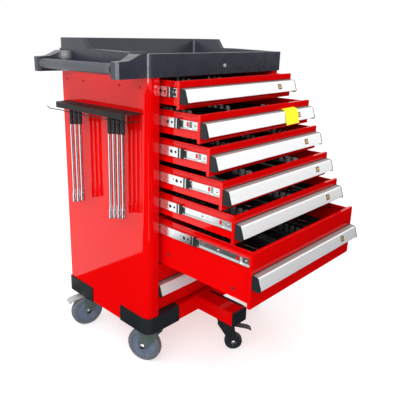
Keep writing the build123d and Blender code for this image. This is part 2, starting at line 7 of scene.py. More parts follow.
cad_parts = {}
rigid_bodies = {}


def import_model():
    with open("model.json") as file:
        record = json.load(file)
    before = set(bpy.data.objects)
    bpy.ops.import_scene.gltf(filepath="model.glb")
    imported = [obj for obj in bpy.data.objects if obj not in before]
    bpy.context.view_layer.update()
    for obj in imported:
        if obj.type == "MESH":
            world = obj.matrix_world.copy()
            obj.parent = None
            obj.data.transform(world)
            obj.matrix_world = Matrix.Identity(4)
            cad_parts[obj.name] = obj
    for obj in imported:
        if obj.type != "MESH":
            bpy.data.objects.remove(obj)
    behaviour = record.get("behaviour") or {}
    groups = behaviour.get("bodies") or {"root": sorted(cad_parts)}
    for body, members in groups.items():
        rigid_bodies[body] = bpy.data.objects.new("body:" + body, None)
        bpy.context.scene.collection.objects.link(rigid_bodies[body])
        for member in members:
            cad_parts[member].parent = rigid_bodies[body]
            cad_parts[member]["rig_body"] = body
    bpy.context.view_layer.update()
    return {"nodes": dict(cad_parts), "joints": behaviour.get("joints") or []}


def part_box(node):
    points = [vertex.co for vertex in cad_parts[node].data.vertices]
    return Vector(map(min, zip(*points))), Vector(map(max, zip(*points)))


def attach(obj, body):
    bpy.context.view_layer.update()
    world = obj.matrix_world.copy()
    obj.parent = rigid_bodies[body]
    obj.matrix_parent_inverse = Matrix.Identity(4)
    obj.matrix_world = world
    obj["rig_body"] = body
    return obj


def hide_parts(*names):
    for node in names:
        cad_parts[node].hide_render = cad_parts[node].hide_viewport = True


# A red tool cart with seven drawers, on casters. CAD shapes stay where they are right and get their
# finish here; the rest is modelled in more detail. Shapes are written in millimetres from the cabinet's
# middle, on the floor.

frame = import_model()

base_low, base_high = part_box("base_frame")
panel_low, panel_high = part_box("side_panel_left")
MIDDLE = Vector(((base_low.x + base_high.x) / 2, (panel_low.y + panel_high.y) / 2, 0))
UP = Vector((0, 0, 1))
SHARP_ANGLE = math.radians(32)
WELD = 2e-6  # in metres
PATTERN_LOW, PATTERN_HIGH = 0.3, 0.7  # where most of a pattern's values lie
BOX_SIDE = 277.5  # a drawer box's half width
SLIDE_WEB = 278.8  # the outer face of the drawer member's web
joints = {joint["name"]: joint for joint in frame["joints"]}
slots = {name: node.data.materials[0].name.split(".")[0] for name, node in frame["nodes"].items()}


def spot(node):
    """A CAD node's box in millimetres from the cabinet's middle."""
    low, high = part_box(node)
    return (low - MIDDLE) * 1000, (high - MIDDLE) * 1000


def welded(node):
    """The node's own mesh with its split vertices joined again, as a bmesh in the row frame."""
    bm = bmesh.new()
    bm.from_mesh(frame["nodes"][node].data)
    bmesh.ops.remove_doubles(bm, verts=bm.verts, dist=WELD)
    return bm


def solids(node):
    """The box of each separate solid in a CAD node, in millimetres from the cabinet's middle, sorted."""
    bm = welded(node)
    left = set(bm.verts)
    boxes = []
    while left:
        pile, found = [left.pop()], []
        while pile:
            vert = pile.pop()
            found.append((vert.co - MIDDLE) * 1000)
            for edge in vert.link_edges:
                other = edge.other_vert(vert)
                if other in left:
                    left.remove(other)
                    pile.append(other)
        low = Vector([min(point[axis] for point in found) for axis in range(3)])
        high = Vector([max(point[axis] for point in found) for axis in range(3)])
        boxes.append((low, high))
    bm.free()
    return sorted(boxes, key=lambda pair: tuple(pair[0]))


# ------------------------------------------------------------------ finishes

class Finish:
    """A procedural material built on one Principled shader."""

    def __init__(self, name, colour, **inputs):
        self.material = bpy.data.materials.new(name)
        self.material.use_nodes = True
        self.tree = self.material.node_tree
        self.shader = self.tree.nodes["Principled BSDF"]
        self.place = None
        self.set("Base Color", (*colour, 1))
        for key, value in inputs.items():
            self.set(key.replace("_", " "), value)

    def set(self, name, value):
        self.shader.inputs[name].default_value = value

    def add(self, kind, **values):
        node = self.tree.nodes.new(kind)
        for key, value in values.items():
            node.inputs[key].default_value = value
        return node

    def link(self, source, target):
        self.tree.links.new(source, target)

    def coordinates(self, stretch):
        """Object coordinates in metres, stretched along the axes."""
        if self.place is None:
            self.place = self.add("ShaderNodeTexCoord")
        mapping = self.add("ShaderNodeMapping", Scale=stretch)
        self.link(self.place.outputs["Object"], mapping.inputs["Vector"])
        return mapping.outputs["Vector"]

    def noise(self, scale, detail=3.0, stretch=(1, 1, 1)):
        node = self.add("ShaderNodeTexNoise", Scale=scale, Detail=detail)
        self.link(self.coordinates(stretch), node.inputs["Vector"])
        return node.outputs["Fac"]

    def cells(self, scale, stretch=(1, 1, 1)):
        node = self.add("ShaderNodeTexVoronoi", Scale=scale)
        self.link(self.coordinates(stretch), node.inputs["Vector"])
        return node.outputs["Distance"]

    def vary(self, name, pattern, low, high):
        """Drive a number on the shader from a pattern."""
        node = self.add("ShaderNodeMapRange")
        node.inputs["From Min"].default_value = PATTERN_LOW
        node.inputs["From Max"].default_value = PATTERN_HIGH
        node.inputs["To Min"].default_value = low
        node.inputs["To Max"].default_value = high
        self.link(pattern, node.inputs["Value"])
        self.link(node.outputs["Result"], self.shader.inputs[name])

    def blend(self, pattern, first, second):
        """Mix two colours by a pattern into the base colour."""
        ramp = self.add("ShaderNodeValToRGB")
        ramp.color_ramp.elements[0].position = PATTERN_LOW
        ramp.color_ramp.elements[0].color = (*first, 1)
        ramp.color_ramp.elements[1].position = PATTERN_HIGH
        ramp.color_ramp.elements[1].color = (*second, 1)
        self.link(pattern, ramp.inputs["Fac"])
        self.link(ramp.outputs["Color"], self.shader.inputs["Base Color"])

    def bump(self, pattern, strength, depth, socket="Normal"):
        """Raise the surface by a pattern; depth is in metres."""
        node = self.add("ShaderNodeBump", Strength=strength, Distance=depth)
        self.link(pattern, node.inputs["Height"])
        self.link(node.outputs["Normal"], self.shader.inputs[socket])


def make_finishes():
    made = {}
    # powder-smooth red enamel under a glossy clear skin
    red = Finish(
        "red_paint", (0.66, 0.001, 0.0014), Roughness=0.4, Specular_IOR_Level=0.0, Coat_Weight=0.76,
        Coat_Roughness=0.045,
    )
    red.blend(red.noise(3.0), (0.64, 0.0009, 0.0012), (0.68, 0.0012, 0.0016))
    red.bump(red.noise(260.0, 2.0), 0.05, 0.0004, "Coat Normal")
    made["red_paint"] = red
    plastic = Finish("black_plastic", (0.019, 0.023, 0.036), Roughness=0.27, Specular_IOR_Level=0.62)
    plastic.blend(plastic.noise(9.0), (0.017, 0.021, 0.034), (0.023, 0.027, 0.041))
    plastic.vary("Roughness", plastic.noise(30.0), 0.22, 0.32)
    plastic.bump(plastic.noise(900.0, 4.0), 0.2, 0.0002)
    made["black_plastic"] = plastic
    moulding = Finish("black_moulding", (0.010, 0.014, 0.017), Roughness=0.42, Specular_IOR_Level=0.32)
    moulding.blend(moulding.noise(12.0), (0.008, 0.012, 0.015), (0.013, 0.017, 0.020))
    moulding.bump(moulding.noise(700.0, 3.0), 0.25, 0.0002)
    made["black_moulding"] = moulding
    grip = Finish("black_grip", (0.056, 0.062, 0.074), Roughness=0.5)
    grip.blend(grip.noise(14.0), (0.049, 0.055, 0.067), (0.063, 0.070, 0.083))
    grip.bump(grip.noise(300.0, 2.0, (1, 0.05, 1)), 0.3, 0.0004)
    made["black_grip"] = grip
    steel = Finish("black_steel", (0.014, 0.010, 0.008), Roughness=0.5, Specular_IOR_Level=0.22)
    steel.blend(steel.noise(20.0), (0.010, 0.008, 0.007), (0.016, 0.013, 0.011))
    steel.bump(steel.noise(700.0, 3.0), 0.3, 0.0002)
    made["black_steel"] = steel
    zinc = Finish("zinc", (0.74, 0.77, 0.77), Metallic=0.92, Roughness=0.15)
    zinc.blend(zinc.cells(90.0, (1, 0.5, 1)), (0.72, 0.75, 0.75), (0.78, 0.80, 0.80))
    zinc.vary("Roughness", zinc.noise(60.0), 0.12, 0.19)
    made["zinc"] = zinc
    pull = Finish("aluminium_pull", (0.96, 0.965, 0.975), Metallic=0.5, Roughness=0.32)
    pull.blend(pull.noise(500.0, 2.0, (0.01, 1, 1)), (0.94, 0.945, 0.955), (0.98, 0.985, 0.99))
    pull.vary("Roughness", pull.noise(240.0, 2.0, (0.02, 1, 1)), 0.28, 0.36)
    pull.bump(pull.noise(900.0, 2.0, (0.01, 1, 1)), 0.12, 0.0002)
    made["aluminium_pull"] = pull
    # a darker copy of the pull's aluminium: painted shade on the pull's top ledge beside the drawer front
    ledge = Finish("shaded_aluminium_ledge", (0.34, 0.31, 0.30), Metallic=0.35, Roughness=0.45)
    ledge.blend(ledge.noise(500.0, 2.0, (0.01, 1, 1)), (0.31, 0.28, 0.27), (0.37, 0.34, 0.33))
    ledge.bump(ledge.noise(900.0, 2.0, (0.01, 1, 1)), 0.12, 0.0002)
    made["shaded_aluminium_ledge"] = ledge
    insert = Finish("black_insert", (0.012, 0.012, 0.014), Roughness=0.6)
    insert.blend(insert.noise(25.0), (0.010, 0.010, 0.012), (0.016, 0.016, 0.018))
    insert.bump(insert.noise(800.0, 3.0), 0.3, 0.0002)
    made["black_insert"] = insert
    chrome = Finish("chrome", (0.88, 0.88, 0.91), Metallic=1.0, Roughness=0.14)
    chrome.vary("Roughness", chrome.noise(80.0), 0.08, 0.18)
    chrome.bump(chrome.noise(120.0, 1.0), 0.03, 0.0003)
    made["chrome"] = chrome
    forks = Finish("fork_steel", (0.13, 0.18, 0.17), Metallic=0.5, Roughness=0.42)
    forks.blend(forks.noise(45.0), (0.11, 0.155, 0.148), (0.15, 0.20, 0.19))
    forks.vary("Roughness", forks.noise(70.0), 0.34, 0.5)
    made["fork_steel"] = forks
    pedal = Finish("pedal_steel", (0.50, 0.52, 0.51), Metallic=0.6, Roughness=0.4)
    pedal.blend(pedal.noise(60.0), (0.44, 0.46, 0.45), (0.56, 0.58, 0.57))
    pedal.bump(pedal.noise(200.0), 0.15, 0.0003)
    made["pedal_steel"] = pedal
    tyre = Finish("grey_tyre", (0.105, 0.12, 0.145), Roughness=0.6)
    tyre.blend(tyre.noise(55.0), (0.09, 0.105, 0.125), (0.125, 0.14, 0.165))
    tyre.bump(tyre.noise(500.0), 0.25, 0.0003)
    made["grey_tyre"] = tyre
    hub = Finish("hub_plastic", (0.11, 0.145, 0.21), Roughness=0.34)
    hub.blend(hub.noise(45.0), (0.095, 0.125, 0.185), (0.135, 0.17, 0.245))
    hub.bump(hub.noise(400.0), 0.1, 0.0002)
    made["hub_plastic"] = hub
    dark_tyre = Finish("black_tyre", (0.012, 0.013, 0.015), Roughness=0.55)
    dark_tyre.blend(dark_tyre.noise(55.0), (0.010, 0.011, 0.013), (0.018, 0.019, 0.021))
    dark_tyre.bump(dark_tyre.noise(500.0), 0.25, 0.0003)
    made["black_tyre"] = dark_tyre
    paper = Finish("yellow_paper", (0.93, 0.90, 0.01), Roughness=0.8)
    paper.blend(paper.noise(40.0), (0.90, 0.87, 0.008), (0.95, 0.93, 0.012))
    paper.bump(paper.noise(900.0, 4.0), 0.2, 0.0001)
    made["yellow_paper"] = paper
    brass = Finish("badge_brass", (0.86, 0.50, 0.12), Metallic=0.4, Roughness=0.3)
    brass.vary("Roughness", brass.noise(200.0), 0.22, 0.38)
    made["badge_brass"] = brass
    wood = Finish("tan_handle", (0.50, 0.33, 0.14), Roughness=0.45)
    wood.blend(wood.noise(60.0, 3.0, (1, 0.1, 1)), (0.42, 0.26, 0.10), (0.58, 0.40, 0.18))
    wood.bump(wood.noise(200.0, 3.0, (1, 0.1, 1)), 0.2, 0.0003)
    made["tan_handle"] = wood
    return made


finishes = make_finishes()


# ------------------------------------------------------------------ shapes

def mesh_object(name, verts, faces, indices, materials, edge, steps):
    """An object with softened edges from plain vertex and face lists, in metres."""
    mesh = bpy.data.meshes.new(name)
    mesh.from_pydata(verts, [], faces)
    for slot_name in materials:
        mesh.materials.append(finishes[slot_name].material)
    for polygon, index in zip(mesh.polygons, indices):
        polygon.material_index = index
    mesh.shade_smooth()
    mesh.set_sharp_from_angle(angle=SHARP_ANGLE)
    item = bpy.data.objects.new(name, mesh)
    bpy.context.scene.collection.objects.link(item)
    if edge:
        bevel = item.modifiers.new("softened_edges", "BEVEL")
        bevel.width = edge / 1000
        bevel.segments = steps
        bevel.limit_method = "ANGLE"
        bevel.angle_limit = SHARP_ANGLE
        bevel.harden_normals = True
    return item


class Shape:
    """Builds one piece from closed solids in millimetres, each with its own finish, in the cabinet's
    frame or in a frame of its own given by a matrix."""

    def __init__(self, own=None):
        self.own = own or Matrix.Identity(4)
        self.verts, self.faces, self.indices, self.materials = [], [], [], []

    def solid(self, points, faces, finish):
        if finish not in self.materials:
            self.materials.append(finish)
        start = len(self.verts)
        self.verts += [self.own @ Vector(point) for point in points]
        self.faces += [[start + index for index in face] for face in faces]
        self.indices += [self.materials.index(finish)] * len(faces)

    def prism(self, outline, along, finish):
        """outline is a closed ring of points; along is the vector it is extruded by."""
        count = len(outline)
        ring = [Vector(point) for point in outline]
        normal = sum((ring[i].cross(ring[(i + 1) % count]) for i in range(count)), Vector((0, 0, 0)))
        if normal.dot(Vector(along)) < 0:
            ring.reverse()
        points = ring + [point + Vector(along) for point in ring]
        faces = [list(range(count))[::-1], [count + i for i in range(count)]]
        faces += [[i, (i + 1) % count, count + (i + 1) % count, count + i] for i in range(count)]
        self.solid(points, faces, finish)

    def box(self, low, high, finish):
        x0, y0, z0 = low
        x1, y1, z1 = high
        self.prism([(x0, y0, z0), (x1, y0, z0), (x1, y1, z0), (x0, y1, z0)], (0, 0, z1 - z0), finish)

    def plate(self, first_x, second_x, low, high, finish):
        """A box between two places along x, in either order; low and high are its corners in y and z."""
        left, right = sorted((first_x, second_x))
        self.box((left, *low), (right, *high), finish)

    def lathe(self, profile, origin, axis, finish, steps=40):
        """profile is a closed ring of (distance along the axis, radius); a radius of 0 closes on the axis."""
        axis = Vector(axis).normalized()
        side = axis.orthogonal().normalized()
        other = axis.cross(side)
        points, rows = [], []
        for along, radius in profile:
            centre = Vector(origin) + axis * along
            if radius < 1e-6:
                rows.append([len(points)] * steps)
                points.append(centre)
                continue
            rows.append([len(points) + step for step in range(steps)])
            for step in range(steps):
                turn = 2 * math.pi * step / steps
                points.append(centre + (side * math.cos(turn) + other * math.sin(turn)) * radius)
        faces = []
        for index, row in enumerate(rows):
            after = rows[(index + 1) % len(rows)]
            for step in range(steps):
                following = (step + 1) % steps
                face = [row[step], after[step], after[following], row[following]]
                face = [corner for place, corner in enumerate(face) if corner not in face[:place]]
                if len(face) > 2:
                    faces.append(face)
        self.solid(points, faces, finish)

    def hexagon(self, origin, axis, across, height, finish):
        """A bolt head or nut, standing on its origin."""
        axis = Vector(axis).normalized()
        side = axis.orthogonal().normalized()
        other = axis.cross(side)
        radius = across / math.sqrt(3)
        turns = [math.pi * step / 3 for step in range(6)]
        ring = [Vector(origin) + (side * math.cos(t) + other * math.sin(t)) * radius for t in turns]
        self.prism(ring, axis * height, finish)

    def finish(self, name, body, slot, edge=0.0, steps=2, stands_for=()):
        points = [point / 1000 + MIDDLE for point in self.verts]
        item = mesh_object(name, points, self.faces, self.indices, self.materials, edge, steps)
        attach(item, body)
        if stands_for:
            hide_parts(*stands_for)


def body_of(node):
    return frame["nodes"][node]["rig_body"]


def softened(node, edge, steps=2, finish=None):
    """The CAD node's own shape with its hard edges rounded off, standing in for the node."""
    slot_name = slots[node]
    bm = welded(node)
    bmesh.ops.dissolve_limit(bm, angle_limit=math.radians(1.0), verts=bm.verts, edges=bm.edges)
    bm.verts.index_update()
    points = [vert.co.copy() for vert in bm.verts]
    faces = [[vert.index for vert in face.verts] for face in bm.faces]
    bm.free()
    item = mesh_object(f"{node}_shape", points, faces, [0] * len(faces), [finish or slot_name], edge, steps)
    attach(item, body_of(node))
    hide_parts(node)


for node, cad_node in frame["nodes"].items():
    for index in range(len(cad_node.data.materials)):
        cad_node.data.materials[index] = finishes[slots[node]].material


# ------------------------------------------------------------------ cabinet

for node, edge, steps in (
    ("top_tray", 3.2, 3), ("base_frame", 0.4, 2), ("caster_mounts", 0.5, 2),
    ("tool_rack", 0.6, 2), ("rigid_forks", 0.7, 2), ("front_swivel_fork", 0.7, 2),
    ("rear_swivel_fork", 0.7, 2), ("rear_brake_pedal", 0.8, 2), ("leg_beam", 1.4, 3),
):
    softened(node, edge, steps)
softened("leg_fork", 0.7, 2, "black_moulding")
softened("leg_brake_pedal", 0.8, 2, "black_moulding")
softened("lock_barrel", 0.6, 2, "pedal_steel")
softened("corner_bumpers", 2.0, 3, "black_moulding")
softened("leg_end_cap", 1.4, 3, "black_moulding")

# a black band along the leg's inner top edge, painted shade for the dark gap between the leg and the open
# drawer above it; low enough to pass through the opening in the base
low, high = spot("leg_beam")
leg_gap_shade = Shape()
leg_gap_shade.plate(
    high.x - 13, high.x + 0.3, (low.y + 6, high.z - 1), (high.y - 160, high.z + 0.4), "black_moulding"
)
leg_gap_shade.finish("leg_top_shade_band", "leg", "red_paint", 0.3, 2)

# the push handle: a ribbed grip between two smooth collars
low, high = spot("handle_bar")
bar_x, bar_z, bar_radius = (low.x + high.x) / 2, (low.z + high.z) / 2, (high.z - low.z) / 2
bar_length = high.y - low.y
near_end = [(0, 0), (0, bar_radius), (22, bar_radius), (24, bar_radius - 1.2), (27, bar_radius - 1.2)]
near_end += [(29, bar_radius - 0.4)]
far_end = [(bar_length - along, radius) for along, radius in reversed(near_end)]
bar = Shape()
bar.lathe(near_end + far_end, (bar_x, low.y, bar_z), (0, 1, 0), "black_grip", 48)
bar.finish("handle_bar_grip", "cabinet", "black_grip", 0.6, 2, ["handle_bar"])

# red-painted button heads along the top of each side panel, each with a black disc in its hollow as painted
# shade
panel_low, panel_high = spot("side_panel_left")
panel_right = spot("side_panel_right")[1].x
studs = Shape()
for side, face in ((-1, panel_low.x), (1, panel_right)):
    for place in (-194, -97, 97, 194):
        head = [(-0.5, 0), (-0.5, 4.6), (0.5, 4.5), (1.6, 3.4), (2.0, 2.2), (1.2, 2.0), (1.1, 0)]
        studs.lathe(head, (face, place, panel_high.z - 29), (side, 0, 0), "red_paint", 24)
        recess_shade = [(0.9, 0), (0.9, 1.9), (1.5, 1.9), (1.5, 0)]
        studs.lathe(recess_shade, (face, place, panel_high.z - 29), (side, 0, 0), "black_steel", 6)
studs.finish("panel_screws", "cabinet", "red_paint")

# hanging drivers: ribbed grip with a flange, chrome rod, stepped socket with a knurled band
drivers = Shape()
for low, high in solids("hanging_bars"):
    place = ((low.x + high.x) / 2, (low.y + high.y) / 2, low.z)
    length = high.z - low.z
    flange = length - 2.6
    grip = length - 68 + (low.z - 550) * 0.4  # the shorter drivers have shorter grips
    socket = [(0, 0), (0, 6.2), (1, 7.3), (9, 7.3), (9.6, 6.6), (12, 6.6), (12.6, 7.3), (30, 7.3), (31, 6.4)]
    socket += [(38, 6.4), (46, 5.4), (46, 0)]
    drivers.lathe(socket, place, UP, "chrome", 24)
    drivers.lathe([(45, 0), (45, 5.4), (grip, 5.4), (grip, 0)], place, UP, "chrome", 24)
    ribs = [(grip - 4, 0), (grip - 4, 5.8), (grip, 7.2)]
    for step in range(11):
        start = grip + 6 + 5 * step
        ribs += [(start, 7.2), (start + 1.5, 6.4), (start + 3, 7.2)]
    ribs += [(flange, 7.2), (flange, 9.9), (flange + 1.2, 9.9), (length, 7.4), (length, 0)]
    drivers.lathe(ribs, place, UP, "black_moulding", 28)
drivers.finish("hanging_drivers", "cabinet", "chrome", 0.0, 2, ["hanging_bars"])


# ------------------------------------------------------------------ drawers

LOWEST = 7  # the closed drawer: no badge on its pull, no insert inside
DEEP_OPEN = 6


def drawer_pull(number):
    """The aluminium extrusion with its two plastic ends and, on the open drawers, a small blank badge."""
    node, body = f"drawer_{number}_pull", f"drawer_{number}"
    low, high = spot(node)
    face, level = high.y, high.z - 1
    cap = 5.1

    def section(outline, x):
        return [(x, face - out, level + up) for out, up in outline]

    outer = [(17.7, -1.2), (20.5, -4.5), (20.8, -5.4), (30.8, -36.4), (31, -37), (30.2, -38.2)]
    inner = [(28.6, -37.4), (18.6, -5.4), (16.4, -3)]
    ledge = [(0, 1), (16.8, -0.9), (17.7, -1.2), (16.4, -3), (0, -1)]
    # a thin black band on the ledge against the drawer front: painted shade in the crease
    crease_shade = [(0, 1), (2.2, 1), (2.2, 2.4), (0, 2.8)]
    bar = Shape()
    span = (high.x - low.x - 2 * cap, 0, 0)
    bar.prism(section(outer + inner, low.x + cap), span, "aluminium_pull")
    # the top ledge in the darker aluminium copy, as painted shade
    bar.prism(section(ledge, low.x + cap), span, "shaded_aluminium_ledge")
    bar.prism(section(crease_shade, low.x + cap), span, "black_moulding")
    bar.finish(f"{node}_bar", body, "aluminium_pull", 0.3, 2, [node])
    cap_line = [(0, 1), (17.5, -1), (20.5, -4.5), (31, -37), (30, -41), (22, -44), (0, -43)]
    inlay = [(4, -4), (15.5, -5), (17.8, -7.5), (26.6, -36), (26, -38.5), (21, -40), (4, -39)]
    ends = Shape()
    for edge_x, step in ((low.x, 1), (high.x, -1)):
        ends.prism(section(cap_line, edge_x + step * 0.8), (step * (cap - 0.8), 0, 0), "black_moulding")
        ends.prism(section(inlay, edge_x), (step * 1.2, 0, 0), "black_moulding")
    ends.finish(f"{node}_ends", body, "aluminium_pull", 0.5, 2)
    if number < LOWEST:
        along = Vector((0, 10.5, 32.5)).normalized()
        across = Vector((1, 0, 0))
        corner = Vector((176, face - 20.5, level - 4.5)) - along * 24
        turn = Matrix((across, along, across.cross(along))).transposed().to_4x4()
        badge = Shape(Matrix.Translation(corner) @ turn)
        badge.box((0, 0, -1.0), (20, 18, 0.6), "black_insert")
        badge.box((3.6, 3.4, 0.3), (16.4, 14.6, 0.9), "badge_brass")
        badge.box((7.8, 7.0, 0.7), (12.2, 11.0, 1.2), "black_insert")
        badge.finish(f"drawer_{number}_badge", body, "aluminium_pull", 0.3)


def slide_fittings(number):
    """What the slide members carry: the black end caps and pins of the middle members, the latch windows
    and rivets of the drawer members."""
    low, high = spot(f"drawer_{number}_slide_middle")
    middle = (low.z + high.z) / 2
    half = (high.z - low.z) / 2
    # the cap goes round the middle member's section and clears the drawer member that slides inside it
    mouth, wall, outside = 280.6, high.x - 1.7, high.x + 0.5
    tall, room, band = half + 0.4, half - 1.9, half + 0.3
    cap = [(outside, tall), (mouth, tall), (mouth, room), (wall, room)]
    cap += [(x, -z) for x, z in reversed(cap)]
    rib = Vector((0.6, 1.2, half - 1.0))
    stops = Shape()
    for side in (-1, 1):
        stops.prism([(side * x, low.y - 0.4, middle + z) for x, z in cap], (0, 9.4, 0), "black_moulding")
        stops.plate(
            side * outside, side * (high.x - 0.4),
            (low.y + 14, middle - band), (low.y + 20, middle + band), "black_moulding",
        )
        for back, lift, radius in ((30, 1.0, 4.2), (48, 0.5, 5.6), (62, 3.5, 2.4)):
            pin = [(-0.6, 0), (-0.6, radius), (0.25, radius), (0.25, 0)]
            place = (side * high.x, low.y + back, middle + lift)
            stops.lathe(pin, place, (side, 0, 0), "black_moulding", 18)
        for back in (10.5, 12.5):
            centre = Vector((side * (high.x - 0.2), low.y + back, middle))
            stops.box(centre - rib, centre + rib, "zinc")
    stops.finish(f"drawer_{number}_slide_stops", f"slide_middle_{number}", "zinc", 0.4)
    low, high = spot(f"drawer_{number}_slide_inner")
    half = (high.z - low.z) / 2 - 1.4
    rivet = [(-0.2, 0), (-0.2, 4.2), (0.7, 4.0), (1.4, 2.6), (1.5, 0)]
    windows = Shape()
    for side in (-1, 1):
        web = side * SLIDE_WEB
        windows.plate(web, web + side * 0.5, (low.y + 44, middle - 6), (low.y + 52, middle + 7), "red_paint")
        for start, end in ((36, 38), (0, 1.4)):
            windows.plate(
                web, side * (high.x - 0.5),
                (low.y + start, middle - half), (low.y + end, middle + half), "zinc",
            )
        for back in (18, 120, 230):
            windows.lathe(rivet, (web, low.y + back, middle), (side, 0, 0), "zinc", 18)
    windows.finish(f"drawer_{number}_slide_latch", f"drawer_{number}", "zinc", 0.2)


def drawer_trim(number):
    """Rolled hems along the box's rim, and black discs on the sides of the deep open drawer: painted shade
    for its holes, on the outer faces and on the inside of the right side.
    """
    low, high = spot(f"drawer_{number}")
    face, top, bottom = low.y, high.z - 3, low.z
    # the hem's section: how far in from the outer face, and how far above the rim
    hem = [(0, -8), (6, -8), (6, -1), (4, 0.8), (1.6, 0.8), (0, -0.8)]
    trim = Shape()
    for side in (-1, 1):
        line = [(side * (BOX_SIDE - inward), face + 2, top + up) for inward, up in hem]
        trim.prism(line, (0, high.y - face - 4, 0), "red_paint")
    half_back = 270
    back_line = [(-half_back, high.y - inward, top + up) for inward, up in hem]
    trim.prism(back_line, (2 * half_back, 0, 0), "red_paint")
    if number == DEEP_OPEN:
        # black discs painted in as the shade inside each hole
        hole_shade = [(-0.8, 0), (-0.8, 5.2), (0.3, 5.2), (0.3, 4.4), (0.1, 4.2), (0.1, 0)]
        for side in (-1, 1):
            for back, lift in ((70, 36), (340, 51)):
                place = (side * BOX_SIDE, face + back, bottom + lift)
                trim.lathe(hole_shade, place, (side, 0, 0), "black_insert", 18)
        inner_hole_shade = [(-0.6, 0), (-0.6, 5.2), (0.8, 4.6), (0.8, 0)]
        for back, drop in ((80, 18), (150, 16), (215, 14)):
            trim.lathe(inner_hole_shade, (BOX_SIDE - 1.6, face + back, top - drop), (-1, 0, 0), "black_insert", 18)
    trim.finish(f"drawer_{number}_hem", f"drawer_{number}", "red_paint", 0.6)


def socket_row(tools, x, front, back, floor, radius, shine):
    """Sockets of one size, standing one behind the other."""
    cup = [(0.2, 0), (0.2, radius - 1), (1.2, radius), (14, radius), (15, radius - 0.8)]
    cup += [(26, radius - 0.8), (27, radius - 1.8), (27, radius - 3.2), (16, radius - 3.6), (16, 0)]
    place = front + 12
    while place + radius < back:
        tools.lathe(cup, (x, place, floor), UP, shine, 20)
        place += 2 * radius + 7


def screwdriver(tools, x, front, back, floor, colour):
    length = back - front
    origin = (x, front, floor + 11.2)
    handle = [(0, 0), (0, 7), (3, 10), (18, 11), (30, 8.5), (length * 0.4, 10.5), (length * 0.46, 7)]
    handle += [(length * 0.47, 0)]
    tools.lathe(handle, origin, (0, 1, 0), colour, 20)
    blade = [(length * 0.45, 0), (length * 0.45, 3), (length - 10, 3), (length - 2, 1.4), (length - 2, 0)]
    tools.lathe(blade, origin, (0, 1, 0), "chrome", 16)


def spanner(tools, x, front, back, floor, shine):
    shaft = [(-3.4, front + 12), (3.4, front + 12), (3.8, back - 12), (-3.8, back - 12)]
    tools.prism([(x + out, y, floor + 0.3) for out, y in shaft], (0, 0, 4.5), shine)
    for end, size in ((front + 10, 9.0), (back - 11, 10.0)):
        ring = [(0, size * 0.55), (0, size - 0.8), (0.8, size), (6, size), (6.8, size - 0.8)]
        ring += [(6.8, size * 0.55)]
        tools.lathe(ring, (x, end, floor + 0.2), UP, shine, 22)


# columns and rows of pockets in each drawer's insert
POCKETS = {1: (9, 1), 2: (8, 2), 3: (10, 1), 4: (6, 2), 5: (7, 2), 6: (5, 2)}
# the steel tools' finish by drawer, lighter or darker to paint how lit they are: near-white for painted
# glints in drawers 2 and 4, dark steel for painted shade in the deep drawer 6
TOOL_FINISH_BY_LIGHT = {2: "aluminium_pull", 4: "aluminium_pull", 6: "fork_steel"}


def drawer_tools(number):
    """Generic tools lying in the pockets of the insert: sockets, screwdrivers and spanners."""
    low, high = spot(f"drawer_{number}_insert")
    columns, rows = POCKETS[number]
    step_x, step_y = (high.x - low.x) / columns, (high.y - low.y) / rows
    floor = high.z - 18
    shine = TOOL_FINISH_BY_LIGHT.get(number, "pedal_steel")
    handle = "tan_handle" if number == DEEP_OPEN else "black_plastic"
    tools = Shape()
    for column in range(columns):
        for row in range(rows):
            x = low.x + step_x * (column + 0.5)
            front, back = low.y + step_y * row + 12, low.y + step_y * (row + 1) - 12
            kind = (column + 2 * row + number) % 3
            if kind == 0:
                socket_row(tools, x, front, back, floor, 8 + (column % 3) * 1.6, shine)
            elif kind == 1:
                screwdriver(tools, x, front, back, floor, handle)
            else:
                spanner(tools, x - 11, front, back, floor, shine)
                spanner(tools, x + 11, front, back, floor, shine)
    tools.finish(f"drawer_{number}_tools", f"drawer_{number}", "chrome", 0.0)


for number in range(1, LOWEST + 1):
    softened(f"drawer_{number}", 0.7)
    drawer_pull(number)
    slide_fittings(number)
    drawer_trim(number)
    if number < LOWEST:
        softened(f"drawer_{number}_insert", 1.2, 2)
        drawer_tools(number)


def paper_note():
    """A plain paper note stuck over the second pull: two layers of one bent grid, closed round the rim."""
    high = spot("drawer_2_pull")[1]
    # how far the sheet stands out from the front, and how far above the pull's ledge, from top to bottom
    bend = [(1.2, 4.4), (9, 2.6), (17, 1.0), (22.0, -5.4), (25.6, -16), (29.0, -27), (32.4, -38)]
    bend += [(34.6, -45.5)]
    left, lean, width, columns, thickness = 111, -13, 76, 8, 0.35
    rows, stride = len(bend), columns + 1
    layer = rows * stride
    points = []
    for lift in (0, thickness):
        for index, (out, up) in enumerate(bend):
            share = index / (rows - 1)
            for step in range(stride):
                across = step / columns
                curl = 6.4 * share * share * (across - 0.5) ** 2
                x = left + lean * share + width * across
                points.append((x, high.y - out - curl - lift, high.z - 1 + up + lift + 1.2 * across))
    faces = []
    for index in range(rows - 1):
        for step in range(columns):
            a = index * stride + step
            faces.append([a, a + 1, a + stride + 1, a + stride])
            faces.append([layer + a + stride, layer + a + stride + 1, layer + a + 1, layer + a])
    rim = list(range(stride)) + [index * stride + columns for index in range(1, rows)]
    rim += [(rows - 1) * stride + step for step in range(columns - 1, -1, -1)]
    rim += [index * stride for index in range(rows - 2, 0, -1)]
    for corner, following in zip(rim, rim[1:] + rim[:1]):
        faces.append([corner, layer + corner, layer + following, following])
    note = Shape()
    note.solid(points, faces, "yellow_paper")
    note.finish("paper_note", "drawer_2", "aluminium_pull")


paper_note()


# ------------------------------------------------------------------ casters

def caster_frame(origin, axle):
    """A caster's own frame: the axle along x, the wheel behind the kingpin along y, the floor at z 0."""
    x = Vector(axle).normalized()
    y = UP.cross(x)
    place = (Vector(origin) - MIDDLE) * 1000
    return Matrix.Translation((place.x, place.y, 0)) @ Matrix((x, y, UP)).transposed().to_4x4()


